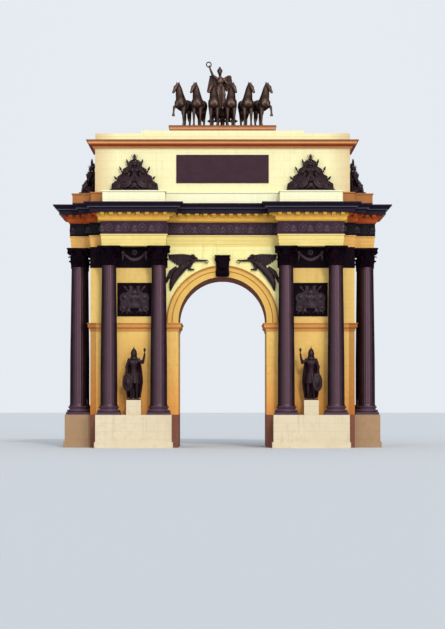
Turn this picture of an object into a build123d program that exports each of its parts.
"""A free-standing triumphal arch: one vaulted passage between two masonry piers.

Each pier carries six cast-iron Corinthian columns, in pairs on its front, back and outer side.
A full entablature breaks forward over every pair, and above it stand an attic with trophies and
a six-horse chariot driven by a winged Victory.

Frame: millimetres, +Z up, origin on the ground under the middle of the passage. The fronts face
-Y and +Y, and the passage runs along Y. West is -X and east is +X.
"""

import os
from math import cos, pi, radians, sin

from build123d import *

# ---------------------------------------------------------------- driving dimensions

# Passage and piers
OPENING_WIDTH = 6300
PIER_WIDTH = 6300
PIER_DEPTH = 6800
CROWN_CLEARANCE = 1300
STILT_HEIGHT = 150

# Plinth blocks that carry the columns, and the course behind them
PLINTH_HEIGHT = 2350
PLINTH_MARGIN = 80
PLINTH_STEP_HEIGHT = 420
PLINTH_STEP_WIDTH = 90

# Columns
COLUMN_HEIGHT = 12000
COLUMN_SPACING = 3540
COLUMN_STANDOFF = 950
SHAFT_FOOT_RADIUS = 600
SHAFT_NECK_RADIUS = 510
BASE_WIDTH = 1680
BASE_HEIGHT = 600
CAPITAL_HEIGHT = 1400
ABACUS_WIDTH = 1720
ABACUS_HEIGHT = 190
FLUTE_COUNT = 24
FLUTE_SHARE = 0.8
SHAFT_COLLAR_HEIGHT = 180

# Impost course round each pier
IMPOST_HEIGHT = 600
IMPOST_PROJECTION = 250

# Arch
RING_WIDTH = 850
ARCHIVOLT_PROJECTION = 120
KEYSTONE_WIDTH = 1040
KEYSTONE_HEIGHT = 1550
KEYSTONE_PROJECTION = 420

# Entablature
ARCHITRAVE_HALF_WIDTH = 510
ARCHITRAVE_HEIGHT = 830
FRIEZE_HEIGHT = 920
FRIEZE_BAND_THICKNESS = 90
BED_HEIGHT = 600
BED_PROJECTION = 260
MODILLION_WIDTH = 260
MODILLION_HEIGHT = 250
MODILLION_REACH = 420
MODILLION_PITCH = 620
CORNICE_HEIGHT = 700
CORNICE_PROJECTION = 1230

# Attic
BLOCKING_HEIGHT = 900
BLOCKING_CAP_HEIGHT = 90
BLOCKING_CAP_LIP = 60
PEDESTAL_WIDTH = 4450
PEDESTAL_REACH = 1380
ATTIC_SETBACK = 300
ATTIC_HEIGHT = 3150
ATTIC_CORNICE_HEIGHT = 600
ATTIC_CORNICE_PROJECTION = 620
PARAPET_HEIGHT = 500
PARAPET_RISE = 200
PARAPET_RISE_WIDTH = 11700
CHARIOT_PLINTH_WIDTH = 7640
CHARIOT_PLINTH_DEPTH = 5400
CHARIOT_PLINTH_HEIGHT = 430

# Panels let into the walls
RELIEF_WIDTH = 2450
RELIEF_HEIGHT = 2400
RELIEF_SILL_RISE = 480
RELIEF_FRAME_WIDTH = 110
PANEL_DEPTH = 160
PANEL_PROUD = 50
TABLET_WIDTH = 6640
TABLET_HEIGHT = 2040
TABLET_SILL = 660
GARLAND_BAND_PROUD = 30
GARLAND_BAND_DROP = 100

# Figures
STATUE_PEDESTAL_WIDTH = 1040
STATUE_PEDESTAL_HEIGHT = 1050
STATUE_STANDOFF = 900
WARRIOR_HEIGHT = 3820
LIMB_SIDES = 10

# Chariot group
HORSE_COUNT = 6
HORSE_PITCH = 1130
HORSE_FAN_ANGLE = 6
WHEEL_RADIUS = 800
WHEEL_TRACK = 1680
CHARIOT_RADIUS = 620
CHARIOT_DECK_HEIGHT = 1200
CHARIOT_WALL_HEIGHT = 900
CHARIOT_SETBACK = 1500
VICTORY_HEIGHT = 3650

# ---------------------------------------------------------------- derived places

opening_half = OPENING_WIDTH / 2
pier_mid = opening_half + PIER_WIDTH / 2
pier_out = opening_half + PIER_WIDTH
wall_y = PIER_DEPTH / 2
ring_outer = opening_half + RING_WIDTH
architrave_foot = PLINTH_HEIGHT + COLUMN_HEIGHT
springing = architrave_foot - CROWN_CLEARANCE - ring_outer
impost_top = springing - STILT_HEIGHT
impost_foot = impost_top - IMPOST_HEIGHT
relief_sill = impost_top + RELIEF_SILL_RISE
garland_inner = pier_mid - COLUMN_SPACING / 2 - SHAFT_FOOT_RADIUS
frieze_foot = architrave_foot + ARCHITRAVE_HEIGHT
bed_foot = frieze_foot + FRIEZE_HEIGHT
cornice_foot = bed_foot + BED_HEIGHT
blocking_foot = cornice_foot + CORNICE_HEIGHT
attic_foot = blocking_foot + BLOCKING_HEIGHT
attic_cornice_foot = attic_foot + ATTIC_HEIGHT
parapet_foot = attic_cornice_foot + ATTIC_CORNICE_HEIGHT
chariot_plinth_foot = parapet_foot + PARAPET_HEIGHT + PARAPET_RISE
chariot_floor = chariot_plinth_foot + CHARIOT_PLINTH_HEIGHT
break_width = COLUMN_SPACING + 2 * ARCHITRAVE_HALF_WIDTH
break_reach = COLUMN_STANDOFF + ARCHITRAVE_HALF_WIDTH
attic_half_x = pier_out - ATTIC_SETBACK
attic_half_y = wall_y - ATTIC_SETBACK
plinth_width = COLUMN_SPACING + BASE_WIDTH + 2 * PLINTH_MARGIN
plinth_reach = COLUMN_STANDOFF + BASE_WIDTH / 2 + PLINTH_MARGIN

# ---------------------------------------------------------------- small helpers


def block(x, y, z):
    """A box from three (low, high) pairs."""
    size = [high - low for low, high in (x, y, z)]
    middle = [(high + low) / 2 for low, high in (x, y, z)]
    return Pos(*middle) * Box(*size)


def fuse(shapes):
    """One solid from a list of overlapping ones, joined one after another."""
    whole, *rest = shapes
    for shape in rest:
        whole = whole.fuse(shape)
    return whole.clean()


def turned(profile):
    """A round body from (radius, height) points, straight or, with a third number, bulging."""
    edges = face_edges(0, profile)
    return revolve(section(0, edges), Axis.Z)


def bar(start, end, start_radius, end_radius):
    """A straight tapered round bar between two points."""
    start, end = Vector(*start), Vector(*end)
    along = end - start
    return Solid.make_cone(start_radius, end_radius, along.length, Plane(origin=start, z_dir=along))


def limb(points, radii):
    """A limb of many flat sides through several points, with the radius given at each.

    Each section stands across the limb's bend, and they all face the same way round it.
    """
    points = [Vector(*point) for point in points]
    runs = [(after - before).normalized() for before, after in zip(points, points[1:])]
    across = sum((a.cross(b) for a, b in zip(runs, runs[1:])), Vector(0, 0, 0))
    if across.length < 0.001:
        across = Vector(0, 1, 0) if abs(runs[0].X) > 0.9 else Vector(1, 0, 0)
    sections = []
    for k, (point, radius) in enumerate(zip(points, radii)):
        along = (runs[max(k - 1, 0)] + runs[min(k, len(runs) - 1)]).normalized()
        level = across - along * across.dot(along)
        place = Plane(origin=point, x_dir=level, z_dir=along)
        sections.append(place * RegularPolygon(radius, LIMB_SIDES))
    return loft(sections, ruled=True)


def ball(centre, radius):
    return Pos(*centre) * Sphere(radius)


def mirror_x(shape):
    return mirror(shape, about=Plane.YZ)


def mirror_y(shape):
    return mirror(shape, about=Plane.XZ)


def round_the_pier(shape):
    """Copies of a piece made for the middle of the east pier's front, on its three open faces.

    The piece stands at x = 0 and its wall face is the plane y = 0.
    """
    front = Pos(pier_mid, -wall_y, 0) * shape
    back = Pos(pier_mid, wall_y, 0) * Rot(0, 0, 180) * shape
    side = Pos(pier_out, 0, 0) * Rot(0, 0, 90) * shape
    return [front, back, side]


def column_places():
    """The six column axes of the east pier."""
    half = COLUMN_SPACING / 2
    pair = [(-half, -COLUMN_STANDOFF), (half, -COLUMN_STANDOFF)]
    places = []
    for x, y in pair:
        places.append((pier_mid + x, -wall_y + y))
        places.append((pier_mid - x, wall_y - y))
        places.append((pier_out - y, x))
    return places


def at_columns(shape, height):
    return [Pos(x, y, height) * shape for x, y in column_places()]


def moulded(half_x, half_y, profile):
    """A block on a rectangle whose four faces carry one moulding, mitred at the corners.

    profile(half) draws the moulding's closed half-section from the middle plane outwards, in the
    XZ plane, with its face standing at half plus the projection.
    """

    def prism(half, length):
        section = profile(half)
        whole = section + mirror(section, about=Plane.YZ)
        return extrude(whole.clean(), length, both=True)

    reach = 4 * max(half_x, half_y)
    along_y = prism(half_x, reach)
    along_x = Rot(0, 0, 90) * prism(half_y, reach)
    return along_y & along_x


def plan_rectangles():
    """Half sizes and centres of the rectangles whose union is the entablature's plan."""
    core = (pier_out, wall_y, 0)
    front_break = (break_width / 2, wall_y + break_reach, pier_mid)
    side_break = (pier_out + break_reach, break_width / 2, 0)
    return core, side_break, front_break


def entablature_course(profile):
    """A moulded course that follows the entablature's plan, breaking forward over the columns."""
    core, side_break, front_break = plan_rectangles()
    pieces = [moulded(core[0], core[1], profile), moulded(side_break[0], side_break[1], profile)]
    forward = moulded(front_break[0], front_break[1], profile)
    pieces += [Pos(side * front_break[2], 0, 0) * forward for side in (-1, 1)]
    return fuse(pieces)


def section(half, edges):
    """A closed half-section: the given face edges, joined back to the middle plane."""
    foot, head = edges[0] @ 0, edges[-1] @ 1
    outline = [Line((0, 0, foot.Z), foot)] if foot.X > 0 else []
    closing = [Line(head, (0, 0, head.Z)), Line((0, 0, head.Z), (0, 0, foot.Z))]
    return make_face(outline + edges + closing)


def face_edges(half, points):
    """Straight and curved edges up a moulding's face.

    Each point is (projection, height) or (projection, height, bulge), where bulge is the middle of
    an arc's distance out from the chord that leads to that point.
    """
    edges = []
    last = None
    for point in points:
        here = Vector(half + point[0], 0, point[1])
        if last is not None:
            if len(point) == 3:
                chord = here - last
                out = Vector(chord.Z, 0, -chord.X).normalized()
                edges.append(ThreePointArc(last, (last + here) / 2 + out * point[2], here))
            else:
                edges.append(Line(last, here))
        last = here
    return edges


def moulding(points):
    """The profile function for moulded() that runs through these points."""
    return lambda half: section(half, face_edges(half, points))


# ---------------------------------------------------------------- piers and plinths


def base_course():
    """The stone course at the foot of a pier, flush with the wall above it."""
    return block((opening_half, pier_out), (-wall_y, wall_y), (0, PLINTH_HEIGHT))


def plinth():
    """One block that carries a pair of columns, with a low step round its foot."""
    step = block(
        (-plinth_width / 2 - PLINTH_STEP_WIDTH, plinth_width / 2 + PLINTH_STEP_WIDTH),
        (-plinth_reach - PLINTH_STEP_WIDTH, 0),
        (0, PLINTH_STEP_HEIGHT),
    )
    die = block((-plinth_width / 2, plinth_width / 2), (-plinth_reach, 0), (0, PLINTH_HEIGHT))
    return fuse([step, die])


def pier():
    """The pier's wall from the base course to the impost."""
    return block((opening_half, pier_out), (-wall_y, wall_y), (PLINTH_HEIGHT, impost_foot))


def impost():
    """The moulded course on top of a pier, from which the arch springs."""
    points = [
        (0, impost_foot),
        (40, impost_foot + 40),
        (40, impost_foot + 0.30 * IMPOST_HEIGHT),
        (0.55 * IMPOST_PROJECTION, impost_foot + 0.48 * IMPOST_HEIGHT, 22),
        (0.72 * IMPOST_PROJECTION, impost_foot + 0.50 * IMPOST_HEIGHT),
        (0.72 * IMPOST_PROJECTION, impost_foot + 0.78 * IMPOST_HEIGHT),
        (IMPOST_PROJECTION, impost_foot + 0.93 * IMPOST_HEIGHT, -18),
        (IMPOST_PROJECTION, impost_top),
    ]
    return Pos(pier_mid, 0, 0) * moulded(PIER_WIDTH / 2, wall_y, moulding(points))


# ---------------------------------------------------------------- columns


def column_base():
    """An Attic base: two tori with a hollow between them, on a square block."""
    foot_block = 0.30 * BASE_HEIGHT
    big, small = 0.29 * BASE_HEIGHT, 0.19 * BASE_HEIGHT
    neck = SHAFT_FOOT_RADIUS + 60
    outer = BASE_WIDTH / 2 - 10
    big_top = foot_block + big
    small_foot = BASE_HEIGHT - small
    edges = [
        Line((0, 0, foot_block), (outer - big / 2, 0, foot_block)),
        ThreePointArc(
            (outer - big / 2, 0, foot_block),
            (outer, 0, foot_block + big / 2),
            (outer - big / 2, 0, big_top),
        ),
        Line((outer - big / 2, 0, big_top), (neck + 40, 0, big_top)),
        ThreePointArc(
            (neck + 40, 0, big_top),
            (neck - 5, 0, (big_top + small_foot) / 2),
            (neck + 15, 0, small_foot),
        ),
        Line((neck + 15, 0, small_foot), (neck + 15, 0, small_foot + 1)),
        ThreePointArc(
            (neck + 15, 0, small_foot + 1),
            (neck + 15 + small / 2, 0, small_foot + small / 2),
            (neck + 15, 0, BASE_HEIGHT),
        ),
        Line((neck + 15, 0, BASE_HEIGHT), (0, 0, BASE_HEIGHT)),
        Line((0, 0, BASE_HEIGHT), (0, 0, foot_block)),
    ]
    mouldings = revolve(make_face(edges), Axis.Z)
    square = block(
        (-BASE_WIDTH / 2, BASE_WIDTH / 2), (-BASE_WIDTH / 2, BASE_WIDTH / 2), (0, foot_block)
    )
    return fuse([square, mouldings])


def fluted_section(radius, height):
    """The shaft's section at a height, with its flutes cut in."""
    flute_radius = FLUTE_SHARE * pi * radius / FLUTE_COUNT
    flutes = PolarLocations(radius, FLUTE_COUNT) * Circle(flute_radius)
    return Pos(0, 0, height) * (Circle(radius) - flutes)


def shaft():
    """A fluted shaft with entasis, between a plain foot and a plain neck with its astragal."""
    length = COLUMN_HEIGHT - BASE_HEIGHT - CAPITAL_HEIGHT
    low, high = SHAFT_COLLAR_HEIGHT, length - SHAFT_COLLAR_HEIGHT
    taper = SHAFT_FOOT_RADIUS - SHAFT_NECK_RADIUS
    stations = [(0, 0), (1 / 3, 0.08), (1, 1)]
    sections = [
        fluted_section(SHAFT_FOOT_RADIUS - lost * taper, low + share * (high - low))
        for share, lost in stations
    ]
    fluted = loft(sections, ruled=True)
    apophyge = 50
    foot = revolve(
        make_face(
            [
                Line((0, 0, 0), (SHAFT_FOOT_RADIUS + apophyge, 0, 0)),
                Line((SHAFT_FOOT_RADIUS + apophyge, 0, 0), (SHAFT_FOOT_RADIUS + apophyge, 0, 60)),
                ThreePointArc(
                    (SHAFT_FOOT_RADIUS + apophyge, 0, 60),
                    (SHAFT_FOOT_RADIUS + 12, 0, 105),
                    (SHAFT_FOOT_RADIUS, 0, low),
                ),
                Line((SHAFT_FOOT_RADIUS, 0, low), (0, 0, low)),
                Line((0, 0, low), (0, 0, 0)),
            ]
        ),
        Axis.Z,
    )
    bead = 45
    bead_z = length - bead
    neck = revolve(
        make_face(
            [
                Line((0, 0, high), (SHAFT_NECK_RADIUS, 0, high)),
                Line((SHAFT_NECK_RADIUS, 0, high), (SHAFT_NECK_RADIUS, 0, bead_z - bead)),
                ThreePointArc(
                    (SHAFT_NECK_RADIUS, 0, bead_z - bead),
                    (SHAFT_NECK_RADIUS + bead, 0, bead_z),
                    (SHAFT_NECK_RADIUS, 0, length),
                ),
                Line((SHAFT_NECK_RADIUS, 0, length), (0, 0, length)),
                Line((0, 0, length), (0, 0, high)),
            ]
        ),
        Axis.Z,
    )
    return fuse([foot, fluted, neck])


def leaf(height, width, root_radius, curl):
    """One leaf of a capital: a pointed tongue that leans out and curls over at its tip."""
    thickness = 40
    lean = 50
    outer = root_radius + lean
    knee = (root_radius + thickness, 0, 0.66 * height)
    tip = (outer + curl, 0, 0.84 * height)
    side = make_face(
        [
            Line((root_radius - 60, 0, 0), (root_radius - 60, 0, 0.7 * height)),
            Line((root_radius - 60, 0, 0.7 * height), (outer, 0, 0.92 * height)),
            ThreePointArc((outer, 0, 0.92 * height), (outer + 0.55 * curl, 0, height), tip),
            Line(tip, (tip[0] - thickness, 0, tip[2] - 10)),
            Line((tip[0] - thickness, 0, tip[2] - 10), knee),
            Line(knee, (root_radius + thickness, 0, 0)),
            Line((root_radius + thickness, 0, 0), (root_radius - 60, 0, 0)),
        ]
    )
    outline = Plane.YZ * make_face(
        Polyline(
            (-0.5 * width, 0),
            (0.5 * width, 0),
            (0.5 * width, 0.62 * height),
            (0.15 * width, 1.1 * height),
            (-0.15 * width, 1.1 * height),
            (-0.5 * width, 0.62 * height),
            close=True,
        ).edges()
    )
    return extrude(side, width / 2, both=True) & extrude(outline, 2 * ABACUS_WIDTH, dir=(1, 0, 0))


def capital():
    """A Corinthian capital: bell, two rows of leaves, corner scrolls and a hollow-sided abacus."""
    bell_top = CAPITAL_HEIGHT - ABACUS_HEIGHT
    bell_radius = SHAFT_NECK_RADIUS - 15
    flare_foot = 0.72 * bell_top
    lip = SHAFT_NECK_RADIUS + 110
    bell = Cylinder(
        bell_radius, flare_foot, align=(Align.CENTER, Align.CENTER, Align.MIN)
    )
    flare = Pos(0, 0, flare_foot) * Cone(
        bell_radius, lip, bell_top - flare_foot, align=(Align.CENTER, Align.CENTER, Align.MIN)
    )
    hollow_radius = 1.1 * ABACUS_WIDTH
    hollow_depth = 130
    hollow_centre = ABACUS_WIDTH / 2 + hollow_radius - hollow_depth
    plan = Rectangle(ABACUS_WIDTH, ABACUS_WIDTH) - PolarLocations(hollow_centre, 4) * Circle(
        hollow_radius
    )
    corner_cut = Rot(0, 0, 45) * Rectangle(1.23 * ABACUS_WIDTH, 1.23 * ABACUS_WIDTH)
    abacus = Pos(0, 0, bell_top) * extrude(plan & corner_cut, ABACUS_HEIGHT)
    pieces = [bell, flare, abacus]
    for row_height, start in ((0.42 * bell_top, 22.5), (0.7 * bell_top, 0)):
        single = leaf(row_height, 330, bell_radius, 110)
        pieces += [Rot(0, 0, start + 45 * k) * single for k in range(8)]
    scroll_radius = 0.13 * bell_top
    scroll_x = 0.6 * ABACUS_WIDTH - scroll_radius
    scroll_z = bell_top - scroll_radius + 15
    stem = make_face(
        Polyline(
            (bell_radius - 80, 0.52 * bell_top),
            (bell_radius + 40, 0.52 * bell_top),
            (scroll_x, scroll_z - scroll_radius),
            (scroll_x, scroll_z + 0.9 * scroll_radius),
            (bell_radius - 80, 0.8 * bell_top),
            close=True,
        ).edges()
    )
    volute = extrude(Plane.XZ * (stem + Pos(scroll_x, scroll_z) * Circle(scroll_radius)), 75, both=True)
    pieces += [Rot(0, 0, 45 + 90 * k) * volute for k in range(4)]
    return fuse(pieces)


# ---------------------------------------------------------------- upper wall and arch


def relief_recess():
    """The pocket that takes a relief panel, for the middle of a pier's face."""
    return block(
        (-RELIEF_WIDTH / 2, RELIEF_WIDTH / 2),
        (PANEL_PROUD - PANEL_DEPTH, PANEL_DEPTH - PANEL_PROUD),
        (relief_sill, relief_sill + RELIEF_HEIGHT),
    )


def upper_wall():
    """The wall over both piers up to the architrave, open for the vault and its panels."""
    wall = block((-pier_out, pier_out), (-wall_y, wall_y), (impost_top, architrave_foot))
    hole = Pos(0, 0, springing) * Rot(90, 0, 0) * Cylinder(ring_outer, 2 * PIER_DEPTH)
    legs = block(
        (-ring_outer, ring_outer), (-PIER_DEPTH, PIER_DEPTH), (0, springing)
    )
    wall = wall - hole - legs
    for pocket in round_the_pier(relief_recess()):
        wall = wall - pocket - mirror_x(pocket)
    return wall


def half_ring(inner, outer, y):
    """An arched band between two radii, with its stilted feet on the imposts."""
    low, high = y
    ring = Pos(0, high, springing) * extrude(
        Plane.XZ * (Circle(outer) - Circle(inner)), high - low
    )
    upper = block((-2 * outer, 2 * outer), y, (springing, springing + 2 * outer))
    feet = [
        block(side, y, (impost_top, springing))
        for side in ((inner, outer), (-outer, -inner))
    ]
    return fuse([ring & upper, *feet])


def arch_barrel():
    """The vault of the passage, as deep as the piers."""
    return half_ring(opening_half, ring_outer, (-wall_y, wall_y))


def keystone():
    """The front keystone: a console that tapers downwards and ends in a scroll."""
    crown = springing + opening_half
    top = crown + KEYSTONE_HEIGHT
    half_top = KEYSTONE_WIDTH / 2
    half_foot = 0.82 * half_top
    wedge_face = make_face(
        Polyline(
            (-half_foot, 0, crown),
            (half_foot, 0, crown),
            (half_top, 0, top),
            (-half_top, 0, top),
            close=True,
        ).edges()
    )
    wedge = extrude(wedge_face, 2 * KEYSTONE_PROJECTION, both=True)
    face_y = -wall_y
    foot_reach = 0.55 * KEYSTONE_PROJECTION
    side = make_face(
        [
            Line((0, face_y, crown), (0, face_y - foot_reach, crown)),
            ThreePointArc(
                (0, face_y - foot_reach, crown),
                (0, face_y - 0.98 * KEYSTONE_PROJECTION, crown + 0.17 * KEYSTONE_HEIGHT),
                (0, face_y - foot_reach, crown + 0.34 * KEYSTONE_HEIGHT),
            ),
            ThreePointArc(
                (0, face_y - foot_reach, crown + 0.34 * KEYSTONE_HEIGHT),
                (0, face_y - 0.62 * KEYSTONE_PROJECTION, crown + 0.62 * KEYSTONE_HEIGHT),
                (0, face_y - KEYSTONE_PROJECTION, top - 130),
            ),
            Line((0, face_y - KEYSTONE_PROJECTION, top - 130), (0, face_y - KEYSTONE_PROJECTION, top)),
            Line((0, face_y - KEYSTONE_PROJECTION, top), (0, face_y, top)),
            Line((0, face_y, top), (0, face_y, crown)),
        ]
    )
    body = extrude(side, KEYSTONE_WIDTH, both=True)
    return body & Pos(0, face_y, 0) * wedge


def archivolt():
    """The front archivolt: two fasciae and a raised rim, parted by the keystone."""
    steps = [(0, 1.0, 0.45), (0.0, 0.52, 0.65), (0.82, 1.0, 1.0)]
    bands = []
    for start, stop, share in steps:
        inner = opening_half + start * RING_WIDTH
        outer = opening_half + stop * RING_WIDTH
        reach = share * ARCHIVOLT_PROJECTION
        bands.append(half_ring(inner, outer, (-wall_y - reach, -wall_y)))
    return fuse(bands) - keystone()


def garland_band():
    """The iron band at capital height, round the three open faces of the east pier."""
    low = architrave_foot - CAPITAL_HEIGHT - GARLAND_BAND_DROP
    skin = GARLAND_BAND_PROUD
    across, along = (garland_inner, pier_out + skin), (-wall_y - skin, wall_y + skin)
    outer = block(across, along, (low, architrave_foot))
    return outer - block((0, pier_out), (-wall_y, wall_y), (0, 2 * architrave_foot))


def relief_panel():
    """A framed cast panel let into the wall, with a sunk field for its carving."""
    sill, head = relief_sill, relief_sill + RELIEF_HEIGHT
    half = RELIEF_WIDTH / 2
    front = -PANEL_PROUD
    plate = block((-half, half), (front, PANEL_DEPTH + front), (sill, head))
    rim = RELIEF_FRAME_WIDTH
    field = block((-half + rim, half - rim), (front - 50, front + 70), (sill + rim, head - rim))
    return plate - field


# ---------------------------------------------------------------- entablature


def architrave():
    """Three fasciae, each standing a little further out, under a narrow fillet."""
    foot, h = architrave_foot, ARCHITRAVE_HEIGHT
    points = [
        (0, foot),
        (0, foot + 0.24 * h),
        (25, foot + 0.24 * h),
        (25, foot + 0.54 * h),
        (50, foot + 0.54 * h),
        (50, foot + 0.84 * h),
        (110, foot + 0.91 * h, -8),
        (110, foot + h),
    ]
    return entablature_course(moulding(points))


def frieze_wall():
    """The masonry behind the iron frieze."""
    return entablature_course(moulding([(0, frieze_foot), (0, bed_foot)]))


def frieze_band():
    """The iron frieze, a skin round the masonry that it hides."""
    out = FRIEZE_BAND_THICKNESS
    return entablature_course(moulding([(out, frieze_foot), (out, bed_foot)])) - frieze_wall()


def bed_moulding():
    """The stone courses under the cornice, which back the modillions."""
    head = cornice_foot
    points = [
        (FRIEZE_BAND_THICKNESS, bed_foot),
        (FRIEZE_BAND_THICKNESS + 40, bed_foot + 30),
        (BED_PROJECTION, bed_foot + 0.30 * BED_HEIGHT, 25),
        (BED_PROJECTION, head),
    ]
    return entablature_course(moulding(points))


def modillion():
    """One bracket under the cornice, scrolled at its foot, reaching along -Y from y = 0."""
    head = cornice_foot
    foot = head - MODILLION_HEIGHT
    side = make_face(
        [
            Line((0, 0, foot), (0, -0.30 * MODILLION_REACH, foot)),
            ThreePointArc(
                (0, -0.30 * MODILLION_REACH, foot),
                (0, -0.62 * MODILLION_REACH, foot + 0.42 * MODILLION_HEIGHT),
                (0, -MODILLION_REACH, foot + 0.5 * MODILLION_HEIGHT),
            ),
            Line((0, -MODILLION_REACH, foot + 0.5 * MODILLION_HEIGHT), (0, -MODILLION_REACH, head)),
            Line((0, -MODILLION_REACH, head), (0, 0, head)),
            Line((0, 0, head), (0, 0, foot)),
        ]
    )
    return extrude(side, MODILLION_WIDTH / 2, both=True)


def modillion_row(start, end, turn):
    """Evenly spaced modillions along one straight face, clear of its two corners."""
    start, end = Vector(*start), Vector(*end)
    run = end - start
    count = max(1, round(run.length / MODILLION_PITCH))
    single = modillion()
    return [
        Pos(start + run * ((k + 0.5) / count)) * Rot(0, 0, turn) * single for k in range(count)
    ]


def modillions():
    """Every modillion, face by face round the plan."""
    out = BED_PROJECTION
    face_y = wall_y + out
    break_y = wall_y + break_reach + out
    side_x = pier_out + out
    break_x = pier_out + break_reach + out
    inner = pier_mid - break_width / 2 - out
    outer = pier_mid + break_width / 2 + out
    half = break_width / 2 + out
    gap = MODILLION_REACH
    quarter = []
    quarter += modillion_row((inner, -break_y, 0), (outer, -break_y, 0), 0)
    quarter += modillion_row((outer, -break_y, 0), (outer, -face_y - gap, 0), 90)
    quarter += modillion_row((outer + gap, -face_y, 0), (side_x, -face_y, 0), 0)
    quarter += modillion_row((side_x, -face_y, 0), (side_x, -half - gap, 0), 90)
    quarter += modillion_row((side_x + gap, -half, 0), (break_x, -half, 0), 0)
    quarter += modillion_row((inner, -break_y, 0), (inner, -face_y - gap, 0), -90)
    half_plan = quarter + [mirror_y(m) for m in quarter]
    half_plan += modillion_row((break_x, -half, 0), (break_x, half, 0), 90)
    whole = half_plan + [mirror_x(m) for m in half_plan]
    for turn, y in ((0, -face_y), (180, face_y)):
        whole += modillion_row((-inner + gap, y, 0), (inner - gap, y, 0), turn)
    return whole


def cornice():
    """The iron corona and cyma that throw the rain clear of the walls."""
    foot, h = cornice_foot, CORNICE_HEIGHT
    p = CORNICE_PROJECTION
    points = [
        (0.66 * p, foot),
        (0.66 * p, foot + 0.34 * h),
        (0.70 * p, foot + 0.38 * h),
        (0.72 * p, foot + 0.46 * h),
        (0.86 * p, foot + 0.62 * h, 18),
        (0.98 * p, foot + 0.86 * h, -22),
        (p, foot + 0.86 * h),
        (p, foot + h),
    ]
    return entablature_course(moulding(points))


# ---------------------------------------------------------------- attic


def blocking_course():
    """The low course over the cornice, with a pedestal over each pair of columns."""
    reach = wall_y + PEDESTAL_REACH
    side_reach = pier_out + PEDESTAL_REACH
    half = PEDESTAL_WIDTH / 2
    head = attic_foot
    cap_foot = head - BLOCKING_CAP_HEIGHT
    lip = BLOCKING_CAP_LIP
    pieces = []
    for out, low in ((0, blocking_foot), (lip, cap_foot)):
        z = (low, head)
        pieces.append(block((-pier_out - out, pier_out + out), (-wall_y - out, wall_y + out), z))
        pieces.append(block((-side_reach - out, side_reach + out), (-half - out, half + out), z))
        for middle in (-pier_mid, pier_mid):
            x = (middle - half - out, middle + half + out)
            pieces.append(block(x, (-reach - out, reach + out), z))
    return fuse(pieces)


def tablet():
    """The long iron tablet in the front of the attic, bare of any inscription."""
    foot = attic_foot + TABLET_SILL
    half = TABLET_WIDTH / 2
    face = -attic_half_y - PANEL_PROUD
    plate = block((-half, half), (face, face + PANEL_DEPTH), (foot, foot + TABLET_HEIGHT))
    rim = 90
    field = block(
        (-half + rim, half - rim), (face - 20, face + 25), (foot + rim, foot + TABLET_HEIGHT - rim)
    )
    return plate - field


def tablet_recess():
    half = TABLET_WIDTH / 2
    foot = attic_foot + TABLET_SILL
    return block(
        (-half, half),
        (-attic_half_y - 10, -attic_half_y - PANEL_PROUD + PANEL_DEPTH),
        (foot, foot + TABLET_HEIGHT),
    )


def attic_wall():
    """The attic's plain mass, with a low plinth and a pocket for the tablet on each front."""
    x, y = attic_half_x, attic_half_y
    wall = block((-x, x), (-y, y), (attic_foot, attic_cornice_foot))
    return wall - tablet_recess() - mirror_y(tablet_recess())


def attic_cornice():
    foot, h = attic_cornice_foot, ATTIC_CORNICE_HEIGHT
    p = ATTIC_CORNICE_PROJECTION
    points = [
        (0, foot),
        (50, foot),
        (50, foot + 0.10 * h),
        (0.42 * p, foot + 0.34 * h, 25),
        (0.42 * p, foot + 0.42 * h),
        (0.74 * p, foot + 0.42 * h),
        (0.74 * p, foot + 0.68 * h),
        (p, foot + 0.90 * h, -20),
        (p, foot + h),
    ]
    return moulded(attic_half_x, attic_half_y, moulding(points))


def parapet():
    """The parapet over the attic cornice, raised under the chariot."""
    x, y = attic_half_x, attic_half_y
    low = block((-x, x), (-y, y), (parapet_foot, parapet_foot + PARAPET_HEIGHT))
    half = PARAPET_RISE_WIDTH / 2
    high = block((-half, half), (-y, y), (parapet_foot, chariot_plinth_foot))
    return fuse([low, high])


def chariot_plinth():
    half_x, half_y = CHARIOT_PLINTH_WIDTH / 2, CHARIOT_PLINTH_DEPTH / 2
    lip = 60
    lip_height = 110
    die = block((-half_x, half_x), (-half_y, half_y), (chariot_plinth_foot, chariot_floor))
    cap = block(
        (-half_x - lip, half_x + lip),
        (-half_y - lip, half_y + lip),
        (chariot_floor - lip_height, chariot_floor),
    )
    return fuse([die, cap])


# ---------------------------------------------------------------- figures


def statue_pedestal():
    """The block that a warrior stands on, for the middle of a plinth."""
    half = STATUE_PEDESTAL_WIDTH / 2
    return block(
        (-half, half),
        (-STATUE_STANDOFF - half, -STATUE_STANDOFF + half),
        (PLINTH_HEIGHT, PLINTH_HEIGHT + STATUE_PEDESTAL_HEIGHT),
    )


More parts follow.
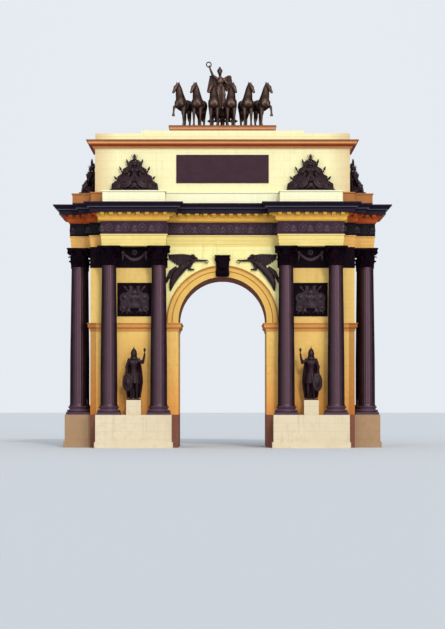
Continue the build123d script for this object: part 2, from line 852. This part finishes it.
def warrior():
    """A cloaked guard in a pointed helmet, one hand raised, facing -Y with its feet at z = 0."""
    top = WARRIOR_HEIGHT
    shoulder = 0.74 * top
    body = turned(
        [
            (430, 0.27 * top),
            (370, 0.38 * top),
            (285, 0.54 * top),
            (390, 0.70 * top, 20),
            (130, 0.78 * top, 60),
            (125, 0.80 * top),
            (215, 0.85 * top, 30),
            (225, 0.88 * top),
            (110, 0.95 * top, 22),
            (14, top),
        ]
    )
    base = block((-460, 460), (-460, 460), (0, 90))
    legs = []
    for side in (-1, 1):
        leg = [(side * 190, 0, 60), (side * 190, 20, 0.13 * top), (side * 175, -20, 0.21 * top)]
        legs.append(limb([*leg, (side * 165, 0, 0.34 * top)], [85, 140, 115, 190]))
        legs.append(block((side * 195 - 75, side * 195 + 75), (-330, 60), (80, 190)))
    arm_down = limb(
        [(-240, 0, shoulder), (-430, 10, 0.69 * top), (-560, 20, 0.60 * top), (-500, -170, 0.56 * top),
         (-400, -340, 0.54 * top)],
        [165, 150, 115, 100, 80],
    )
    arm_up = limb(
        [(240, 0, shoulder), (450, -20, 0.72 * top), (690, -80, 0.71 * top), (760, -130, 0.77 * top),
         (790, -180, 0.86 * top)],
        [165, 150, 115, 100, 85],
    )
    cloak_outline = Polyline(
        (-400, 0.79 * top),
        (400, 0.79 * top),
        (630, 0.42 * top),
        (400, 60),
        (-400, 60),
        (-680, 0.42 * top),
        close=True,
    )
    cloak = Pos(0, 250, 0) * extrude(Plane.XZ * make_face(cloak_outline.edges()), 70, both=True)
    return fuse([body, base, *legs, arm_down, arm_up, cloak])


def beside_arch(angle, gap, y):
    """A point over the arch's ring: its angle up from the springing and its gap from the ring."""
    reach = ring_outer + gap
    return (reach * cos(radians(angle)), y, springing + reach * sin(radians(angle)))


def spandrel_figure():
    """The east front spandrel's flying Victory, cut flat where it lies on the wall.

    Its body follows the arch's ring and its wings lie under the architrave.
    """
    y = -wall_y - 60
    spine = [(65, 860), (59, 800), (51, 700), (44, 610), (37, 500), (30, 300)]
    body = limb([beside_arch(angle, gap, y) for angle, gap in spine], [110, 230, 275, 280, 220, 80])
    head = ball(beside_arch(65.5, 1020, y - 40), 175)
    reach = [(60, 900), (66, 720), (71.5, 560), (75.5, 400)]
    arm = limb([beside_arch(angle, gap, y) for angle, gap in reach], [130, 105, 80, 55])
    head_room = 520
    tip = garland_inner - 50
    wing_outline = Polyline(
        (tip - 2150, -head_room - 330),
        (tip - 2050, -head_room - 30),
        (tip - 900, -head_room),
        (tip, -head_room - 40),
        (tip - 60, -head_room - 430),
        (tip - 420, -head_room - 820),
        (tip - 1150, -head_room - 960),
        (tip - 1700, -head_room - 620),
        close=True,
    )
    wing_face = Plane.XZ * make_face(wing_outline.edges())
    wing = Pos(0, -wall_y, architrave_foot) * extrude(wing_face, 95, both=True)
    figure = fuse([wing, body, head, arm])
    return figure - block((0, pier_out), (-wall_y, 0), (impost_top, architrave_foot))


def trophy():
    """A trophy of arms piled against the attic: armour on a post over a low base, with shields,
    spears and banners falling away to both sides and forward."""
    half = 0.39 * PEDESTAL_WIDTH
    base = block((-half, half), (-600, 560), (0, 130))
    step = block((-0.6 * half, 0.6 * half), (-400, 500), (100, 400))
    post = bar((0, 230, 380), (0, 250, 2600), 130, 60)
    skirt = Pos(0, 60, 700) * Cone(450, 310, 460, align=(Align.CENTER, Align.CENTER, Align.MIN))
    chest = Pos(0, 130, 1120) * Cone(300, 400, 620, align=(Align.CENTER, Align.CENTER, Align.MIN))
    helmet = bar((0, 235, 1790), (0, 245, 2240), 240, 190)
    crest = Pos(0, 250, 2080) * Cone(205, 25, 690, align=(Align.CENTER, Align.CENTER, Align.MIN))
    pieces = [base, step, post, skirt, chest, helmet, crest]
    for side in (-1, 1):
        pieces.append(Pos(side * 620, -330, 640) * Rot(68, 0, side * 14) * Cylinder(500, 130))
        pieces.append(Pos(side * 1220, -300, 420) * Rot(66, 0, side * 24) * Cylinder(350, 110))
        pieces.append(Pos(side * 500, 60, 1330) * Rot(72, 0, side * 20) * Cylinder(340, 120))
        pieces.append(ball((side * 170, -330, 330), 215))
        pieces.append(bar((side * 250, 100, 380), (side * 560, 380, 2350), 70, 40))
        pieces.append(bar((side * 450, 160, 300), (side * 1120, 340, 1780), 70, 40))
        banner = make_face(
            Polyline(
                (side * 60, 400),
                (side * 60, 2250),
                (side * 380, 2130),
                (side * 700, 1500),
                (side * 880, 1420),
                (side * 1180, 900),
                (side * 1330, 800),
                (side * 1680, 120),
                close=True,
            ).edges()
        )
        pieces.append(Pos(0, 330, 0) * extrude(Plane.XZ * banner, 80, both=True))
        pieces.append(bar((side * 250, 140, 1640), (side * 600, 20, 1400), 140, 100))
    return fuse(pieces)


def horse(raised):
    """A standing horse with its head high and turned aside, facing -Y, one foreleg perhaps raised.

    The head and the raised leg are on the -X side.
    """
    trunk = limb(
        [(0, -1080, 1850), (0, -880, 1760), (0, -330, 1650), (0, 280, 1650), (0, 800, 1770),
         (0, 1090, 1830)],
        [210, 420, 435, 415, 415, 220],
    )
    neck = limb(
        [(0, -700, 1850), (-20, -1030, 2330), (-50, -1150, 2760), (-90, -1230, 3020),
         (-190, -1390, 2880), (-330, -1590, 2500)],
        [430, 345, 250, 205, 180, 105],
    )
    ears = [
        bar((-90 + side * 85, -1210, 3100), (-90 + side * 110, -1210, 3330), 65, 15)
        for side in (-1, 1)
    ]
    mane_outline = Polyline(
        (-560, 2150), (-930, 2620), (-1020, 3170), (-1230, 3180), (-1150, 2500), close=True
    )
    mane_face = Plane.YZ * make_face(mane_outline.edges())
    mane = Pos(-40, 0, 0) * extrude(mane_face, 55, both=True)
    fore_straight = [
        (235, -860, 1560), (235, -900, 1190), (235, -920, 800), (235, -900, 310), (235, -930, -30)
    ]
    fore_raised = [
        (235, -800, 1580), (270, -1150, 1520), (320, -1430, 1420), (350, -1480, 1120), (350, -1460, 800)
    ]
    near = limb(fore_straight, [225, 160, 105, 80, 120])
    far = mirror_x(limb(fore_raised, [225, 165, 105, 80, 105]) if raised else near)
    hind_radii = [270, 225, 120, 88, 125]
    hind = []
    for side, step in ((-1, 90), (1, -90)):
        points = [
            (side * 190, 800, 1600), (side * 210, 760 + step, 1190), (side * 210, 1010 + step, 850),
            (side * 205, 930 + step, 360), (side * 205, 880 + step, -30),
        ]
        hind.append(limb(points, hind_radii))
    tail = limb([(0, 1000, 1930), (0, 1270, 1780), (0, 1360, 1250), (0, 1350, 700)], [100, 130, 145, 40])
    below = block((-1000, 1000), (-2500, 2500), (-500, 0))
    return fuse([trunk, neck, mane, *ears, near, far, *hind, tail]) - below


def horses():
    """The six horses abreast, fanning out from the pole, the outer ones pawing the air."""
    inner, outer = horse(raised=False), horse(raised=True)
    team = []
    for k in range(HORSE_COUNT):
        place = k - (HORSE_COUNT - 1) / 2
        single = outer if k in (0, HORSE_COUNT - 1) else inner
        if place > 0:
            single = mirror_x(single)
        turn = HORSE_FAN_ANGLE * place
        team.append(Pos(place * HORSE_PITCH, -700, chariot_floor) * Rot(0, 0, turn) * single)
    return team


def wheel():
    """A spoked wheel on the X axis."""
    felloe = 120
    rim = Cylinder(WHEEL_RADIUS, 130) - Cylinder(WHEEL_RADIUS - felloe, 200)
    hub = Cylinder(140, 230)
    spoke = WHEEL_RADIUS - felloe
    spokes = [Rot(0, 0, 45 * k) * Pos(spoke / 2 + 30, 0, 0) * Box(spoke, 90, 80) for k in range(8)]
    return Rot(0, 90, 0) * fuse([rim, hub, *spokes])


def chariot():
    """A two-wheeled chariot, open at the back, on its axle, its pole and a hidden prop."""
    r, deck, head = CHARIOT_RADIUS, CHARIOT_DECK_HEIGHT, CHARIOT_DECK_HEIGHT + CHARIOT_WALL_HEIGHT
    thickness = 110
    floor = Pos(0, 0, deck - thickness / 2) * Cylinder(r, thickness)
    shell = Cylinder(r, head - deck + thickness) - Cylinder(r - 70, 2 * head)
    wall = Pos(0, 0, (head + deck - thickness) / 2) * shell
    lip = Pos(0, 0, head) * (Cylinder(r + 35, 90) - Cylinder(r - 90, 200))
    doorway = block((-0.75 * r, 0.75 * r), (0, 2 * r), (deck, 2 * head))
    basket = fuse([wall, lip]) - doorway
    axle = Pos(0, 0, WHEEL_RADIUS) * Rot(0, 90, 0) * Cylinder(90, WHEEL_TRACK + 60)
    wheels = [Pos(side * WHEEL_TRACK / 2, 0, WHEEL_RADIUS) * wheel() for side in (-1, 1)]
    pole = bar((0, 60, WHEEL_RADIUS), (0, -900, WHEEL_RADIUS + 40), 80, 60)
    prop = Pos(0, 100, 0) * Cone(
        200, 150, deck - thickness / 2, align=(Align.CENTER, Align.CENTER, Align.MIN)
    )
    body = fuse([floor, basket, axle, *wheels, pole, prop])
    return Pos(0, CHARIOT_SETBACK, chariot_floor) * body


def victory():
    """The winged Victory in the chariot, holding up a wreath, facing -Y."""
    top = VICTORY_HEIGHT
    body = turned(
        [
            (360, 0),
            (375, 0.28 * top),
            (255, 0.58 * top),
            (345, 0.74 * top, 22),
            (120, 0.82 * top, 65),
            (110, 0.875 * top),
            (205, 0.93 * top, 42),
            (25, top, 62),
        ]
    )
    shoulder = 0.745 * top
    arm_up = limb(
        [(-200, 0, shoulder), (-470, -40, 0.80 * top), (-640, -110, 0.87 * top),
         (-760, -150, 0.94 * top), (-840, -160, top)],
        [155, 135, 105, 92, 78],
    )
    arm_down = limb(
        [(200, 0, shoulder), (440, -20, 0.71 * top), (560, -60, 0.63 * top), (540, -260, 0.60 * top),
         (460, -440, 0.585 * top)],
        [155, 135, 105, 92, 78],
    )
    wreath = Pos(-880, -160, top + 140) * Rot(90, 0, 25) * Torus(175, 52)
    wings = []
    for side in (-1, 1):
        outline = Polyline(
            (side * 60, 0.66 * top),
            (side * 330, 0.82 * top),
            (side * 600, 0.84 * top),
            (side * 740, 0.72 * top),
            (side * 700, 0.52 * top),
            (side * 470, 0.32 * top),
            (side * 60, 0.48 * top),
            close=True,
        )
        wing = extrude(Plane.XZ * make_face(outline.edges()), 50, both=True)
        wings.append(Pos(0, 230, 0) * Rot(0, 0, side * 18) * wing)
    figure = fuse([body, arm_up, arm_down, wreath, *wings])
    return Pos(-130, CHARIOT_SETBACK, chariot_floor + CHARIOT_DECK_HEIGHT) * figure


# ---------------------------------------------------------------- assembly


def save(name, shapes):
    """Writes one node; shapes is a solid or a list of them."""
    listed = shapes if isinstance(shapes, list) else [shapes]
    solids = [solid for shape in listed for solid in shape.solids()]
    export_step(Compound(solids), f"parts/{name}.step")


def save_pair(name, shapes):
    """Writes the east pier's node and its mirror image on the west pier."""
    listed = shapes if isinstance(shapes, list) else [shapes]
    save(f"east_{name}", listed)
    save(f"west_{name}", [mirror_x(shape) for shape in listed])


def main():
    os.makedirs("parts", exist_ok=True)

    save_pair("base_course", base_course())
    save_pair("plinths", round_the_pier(plinth()))
    save_pair("pier", pier())
    save_pair("impost", impost())
    save_pair("column_bases", at_columns(column_base(), PLINTH_HEIGHT))
    save_pair("column_shafts", at_columns(shaft(), PLINTH_HEIGHT + BASE_HEIGHT))
    save_pair("column_capitals", at_columns(capital(), architrave_foot - CAPITAL_HEIGHT))
    save_pair("garland_band", garland_band())
    save_pair("relief_panels", round_the_pier(relief_panel()))
    save_pair("statue_pedestals", round_the_pier(statue_pedestal()))
    guard = Pos(0, -STATUE_STANDOFF, PLINTH_HEIGHT + STATUE_PEDESTAL_HEIGHT) * mirror_x(warrior())
    save_pair("warriors", round_the_pier(guard))

    save("upper_wall", upper_wall())
    save("arch_barrel", arch_barrel())
    save("archivolts", [archivolt(), mirror_y(archivolt())])
    save("keystones", [keystone(), mirror_y(keystone())])
    spandrels = [spandrel_figure(), mirror_x(spandrel_figure())]
    save("spandrel_figures", spandrels + [mirror_y(s) for s in spandrels])

    save("architrave", architrave())
    save("frieze_wall", frieze_wall())
    save("frieze_band", frieze_band())
    save("bed_moulding", bed_moulding())
    save("modillions", modillions())
    save("cornice", cornice())

    save("blocking_course", blocking_course())
    save("attic_wall", attic_wall())
    save("attic_tablets", [tablet(), mirror_y(tablet())])
    save("attic_cornice", attic_cornice())
    save("parapet", parapet())
    trophy_y = -(attic_half_y + 640)
    front_trophy = Pos(pier_mid, trophy_y, attic_foot) * trophy()
    save("front_trophies", [front_trophy, mirror_x(front_trophy)])
    save("back_trophies", [mirror_y(front_trophy), mirror_y(mirror_x(front_trophy))])
    side_trophy = Pos(attic_half_x + 640, 0, attic_foot) * Rot(0, 0, 90) * trophy()
    save("side_trophies", [side_trophy, mirror_x(side_trophy)])

    save("chariot_plinth", chariot_plinth())
    save("horses", horses())
    save("chariot", chariot())
    save("victory", victory())


main()
